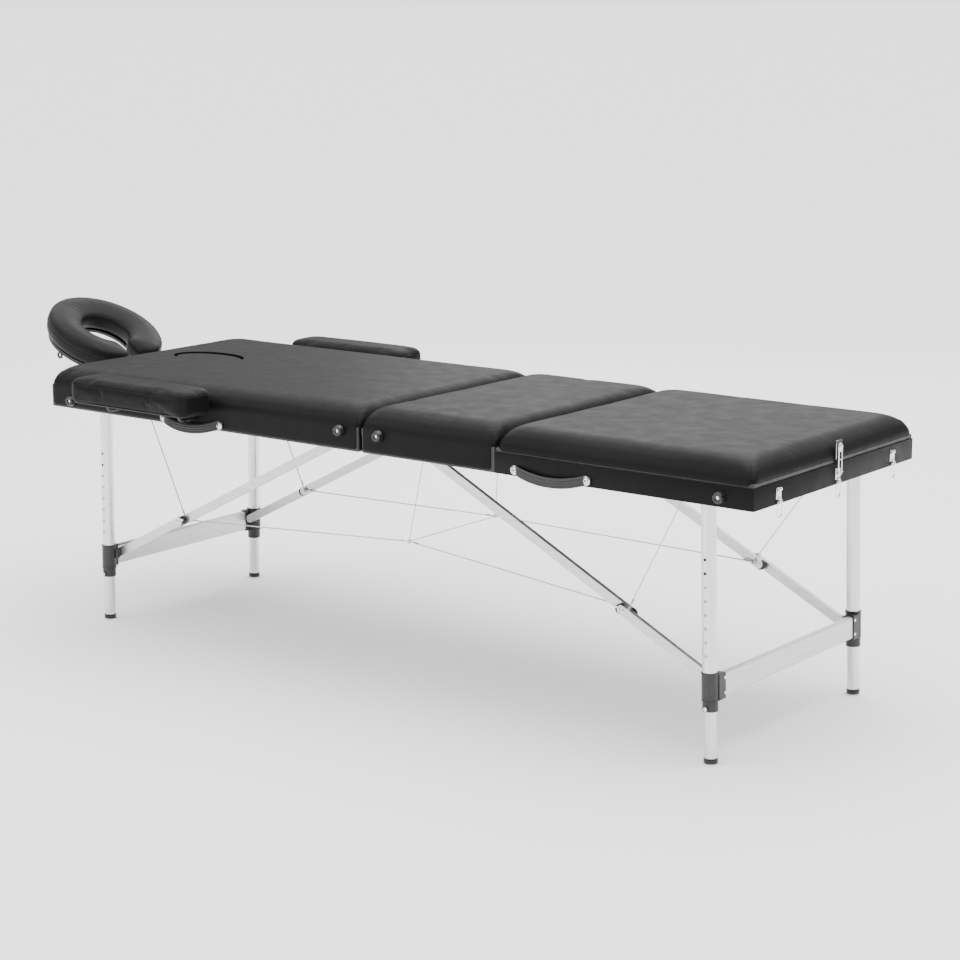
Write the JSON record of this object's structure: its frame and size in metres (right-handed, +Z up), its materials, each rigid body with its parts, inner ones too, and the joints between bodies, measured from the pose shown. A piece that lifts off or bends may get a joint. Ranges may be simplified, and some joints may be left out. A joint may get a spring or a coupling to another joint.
{
  "type": "portable massage table",
  "caption": "Folding portable massage table with padded black sections, lifting back section, horseshoe headrest, armrests and height-adjustable aluminium legs.",
  "frame": {"origin": "on the floor, under the middle of the set-up table's overall length (headrest fitted) and width", "axes": "+X along the table towards the foot end, +Y across it away from the carry-handle side, +Z up"},
  "size_m": [2.1427, 0.8, 0.7052],
  "materials": {
    "vinyl": "matte black leather-look vinyl over foam",
    "frame": "black painted plywood and rail",
    "aluminium": "satin drawn tube",
    "black_plastic": "satin moulded",
    "rubber": "satin dome",
    "strap": "ribbed strap",
    "chrome": "bright plated",
    "steel": "plated wire"
  },
  "bodies": {
    "foot_half": {"foot_frame": "frame", "middle_pad": "vinyl", "fold_leaf_foot": "chrome", "latch_base_near": "chrome", "latch_base_middle": "chrome", "latch_base_far": "chrome", "carry_handle_foot": "strap", "foot_bumper_1": "rubber", "foot_bumper_2": "rubber", "foot_cable_net": "steel"},
    "head_half": {"head_frame": "frame", "head_pad": "vinyl", "fold_leaf_head": "chrome", "carry_handle_head": "strap", "head_bumper_1": "rubber", "head_bumper_2": "rubber", "head_cable_near": "steel", "head_cable_far": "steel"},
    "face_plug": {"face_plug": "vinyl"},
    "backrest": {"backrest_board": "frame", "backrest_pad": "vinyl"},
    "backrest_prop": {"backrest_prop": "steel"},
    "panel_link": {"panel_latch_link": "chrome"},
    "foot_legs": {"foot_crossbar": "aluminium", "foot_near_leg_tube": "aluminium", "foot_near_collar": "black_plastic", "foot_far_leg_tube": "aluminium", "foot_far_collar": "black_plastic"},
    "foot_lower_struts": {"foot_near_lower_strut": "aluminium", "foot_far_lower_strut": "aluminium"},
    "foot_upper_struts": {"foot_near_upper_strut": "aluminium", "foot_far_upper_strut": "aluminium"},
    "foot_near_inner_leg": {"foot_near_inner_leg": "aluminium"},
    "foot_near_leg_button": {"foot_near_leg_button": "chrome"},
    "foot_far_inner_leg": {"foot_far_inner_leg": "aluminium"},
    "foot_far_leg_button": {"foot_far_leg_button": "chrome"},
    "head_legs": {"head_crossbar": "aluminium", "head_near_leg_tube": "aluminium", "head_near_collar": "black_plastic", "head_far_leg_tube": "aluminium", "head_far_collar": "black_plastic"},
    "head_lower_struts": {"head_near_lower_strut": "aluminium", "head_far_lower_strut": "aluminium"},
    "head_upper_struts": {"head_near_upper_strut": "aluminium", "head_far_upper_strut": "aluminium"},
    "head_near_inner_leg": {"head_near_inner_leg": "aluminium"},
    "head_near_leg_button": {"head_near_leg_button": "chrome"},
    "head_far_inner_leg": {"head_far_inner_leg": "aluminium"},
    "head_far_leg_button": {"head_far_leg_button": "chrome"},
    "latch_bail_near": {"latch_bail_near": "chrome"},
    "latch_bail_middle": {"latch_bail_middle": "chrome"},
    "latch_bail_far": {"latch_bail_far": "chrome"},
    "armrest_near": {"armrest_near": "vinyl"},
    "armrest_far": {"armrest_far": "vinyl"},
    "headrest_bracket": {"headrest_bracket": "steel"},
    "headrest": {"headrest_cradle": "black_plastic", "headrest_cushion": "vinyl"},
    "headrest_cam_lever": {"headrest_cam_lever": "black_plastic"}
  },
  "joints": [
    {"name": "case_fold", "type": "hinge", "parent": "foot_half", "child": "head_half", "pos_m": [0.14, 0, 0.4935], "axis": [0, -1, 0], "range_deg": [0, 180], "deforming": ["head_cable_near", "head_cable_far", "foot_cable_net"]},
    {"name": "foot_leg_fold", "type": "hinge", "parent": "foot_half", "child": "foot_legs", "pos_m": [0.951, 0, 0.513], "axis": [0, 1, 0], "range_deg": [0, 91.6]},
    {"name": "foot_lower_strut_fold", "type": "hinge", "parent": "foot_legs", "child": "foot_lower_struts", "pos_m": [0.95006, 0, 0.15283], "axis": [0, 1, 0], "range_deg": [0, 62.27]},
    {"name": "foot_upper_strut_fold", "type": "hinge", "parent": "foot_half", "child": "foot_upper_struts", "pos_m": [0.21, 0, 0.524], "axis": [0, 1, 0], "range_deg": [-26.45, 0]},
    {"name": "foot_near_inner_leg_slide", "type": "slide", "parent": "foot_legs", "child": "foot_near_inner_leg", "axis": [0.0279, 0, -0.9996], "range_m": [0, 0.178]},
    {"name": "foot_near_leg_button_press", "type": "slide", "parent": "foot_legs", "child": "foot_near_leg_button", "axis": [0, 1, 0], "range_m": [0, 0.0026], "stiffness_N_per_m": 300},
    {"name": "foot_far_inner_leg_slide", "type": "slide", "parent": "foot_legs", "child": "foot_far_inner_leg", "axis": [0.0279, 0, -0.9996], "range_m": [0, 0.178]},
    {"name": "foot_far_leg_button_press", "type": "slide", "parent": "foot_legs", "child": "foot_far_leg_button", "axis": [0, -1, 0], "range_m": [0, 0.0026], "stiffness_N_per_m": 300},
    {"name": "head_leg_fold", "type": "hinge", "parent": "head_half", "child": "head_legs", "pos_m": [-0.671, 0, 0.513], "axis": [0, -1, 0], "range_deg": [0, 91.6]},
    {"name": "head_lower_strut_fold", "type": "hinge", "parent": "head_legs", "child": "head_lower_struts", "pos_m": [-0.67006, 0, 0.15283], "axis": [0, -1, 0], "range_deg": [0, 62.27]},
    {"name": "head_upper_strut_fold", "type": "hinge", "parent": "head_half", "child": "head_upper_struts", "pos_m": [0.07, 0, 0.524], "axis": [0, -1, 0], "range_deg": [-26.45, 0]},
    {"name": "head_near_inner_leg_slide", "type": "slide", "parent": "head_legs", "child": "head_near_inner_leg", "axis": [-0.0279, 0, -0.9996], "range_m": [0, 0.178]},
    {"name": "head_near_leg_button_press", "type": "slide", "parent": "head_legs", "child": "head_near_leg_button", "axis": [0, 1, 0], "range_m": [0, 0.0026], "stiffness_N_per_m": 300},
    {"name": "head_far_inner_leg_slide", "type": "slide", "parent": "head_legs", "child": "head_far_inner_leg", "axis": [-0.0279, 0, -0.9996], "range_m": [0, 0.178]},
    {"name": "head_far_leg_button_press", "type": "slide", "parent": "head_legs", "child": "head_far_leg_button", "axis": [0, -1, 0], "range_m": [0, 0.0026], "stiffness_N_per_m": 300},
    {"name": "backrest_tilt", "type": "hinge", "parent": "foot_half", "child": "backrest", "pos_m": [0.485, 0, 0.56], "axis": [0, -1, 0], "range_deg": [0, 50]},
    {"name": "prop_swing", "type": "hinge", "parent": "backrest", "child": "backrest_prop", "pos_m": [0.76, 0, 0.531], "axis": [0, 1, 0], "range_deg": [0, 108.9]},
    {"name": "panel_link_swing", "type": "hinge", "parent": "backrest", "child": "panel_link", "pos_m": [1.0698, 0, 0.5735], "axis": [0, -1, 0], "range_deg": [0, 120]},
    {"name": "latch_bail_near_swing", "type": "hinge", "parent": "foot_half", "child": "latch_bail_near", "pos_m": [1.0678, -0.215, 0.501], "axis": [0, -1, 0], "range_deg": [0, 150]},
    {"name": "latch_bail_middle_swing", "type": "hinge", "parent": "foot_half", "child": "latch_bail_middle", "pos_m": [1.0678, 0, 0.501], "axis": [0, -1, 0], "range_deg": [0, 100]},
    {"name": "latch_bail_far_swing", "type": "hinge", "parent": "foot_half", "child": "latch_bail_far", "pos_m": [1.0678, 0.215, 0.501], "axis": [0, -1, 0], "range_deg": [0, 150]},
    {"name": "face_plug_lift", "type": "slide", "parent": "head_half", "child": "face_plug", "axis": [0, 0, 1], "range_m": [0, 0.12]},
    {"name": "armrest_near_pull", "type": "slide", "parent": "head_half", "child": "armrest_near", "axis": [0, -1, 0], "range_m": [0, 0.03]},
    {"name": "armrest_far_pull", "type": "slide", "parent": "head_half", "child": "armrest_far", "axis": [0, 1, 0], "range_m": [0, 0.03]},
    {"name": "headrest_pull", "type": "slide", "parent": "head_half", "child": "headrest_bracket", "axis": [-1, 0, 0], "range_m": [0, 0.09]},
    {"name": "headrest_tilt", "type": "hinge", "parent": "headrest_bracket", "child": "headrest", "pos_m": [-0.87, 0, 0.516], "axis": [0, 1, 0], "range_deg": [-20, 10]},
    {"name": "cam_lever_swing", "type": "hinge", "parent": "headrest", "child": "headrest_cam_lever", "pos_m": [-0.87, -0.0625, 0.516], "axis": [0, 1, 0], "range_deg": [-70, 0]}
  ],
  "couplings": [
    {"joint": "foot_leg_fold", "follows": "case_fold", "ratio": 0.50889},
    {"joint": "foot_lower_strut_fold", "follows": "case_fold", "ratio": 0.34591},
    {"joint": "foot_upper_strut_fold", "follows": "case_fold", "ratio": -0.14695},
    {"joint": "head_leg_fold", "follows": "case_fold", "ratio": 0.50889},
    {"joint": "head_lower_strut_fold", "follows": "case_fold", "ratio": 0.34591},
    {"joint": "head_upper_strut_fold", "follows": "case_fold", "ratio": -0.14695},
    {"joint": "prop_swing", "follows": "backrest_tilt", "ratio": 2.178}
  ]
}
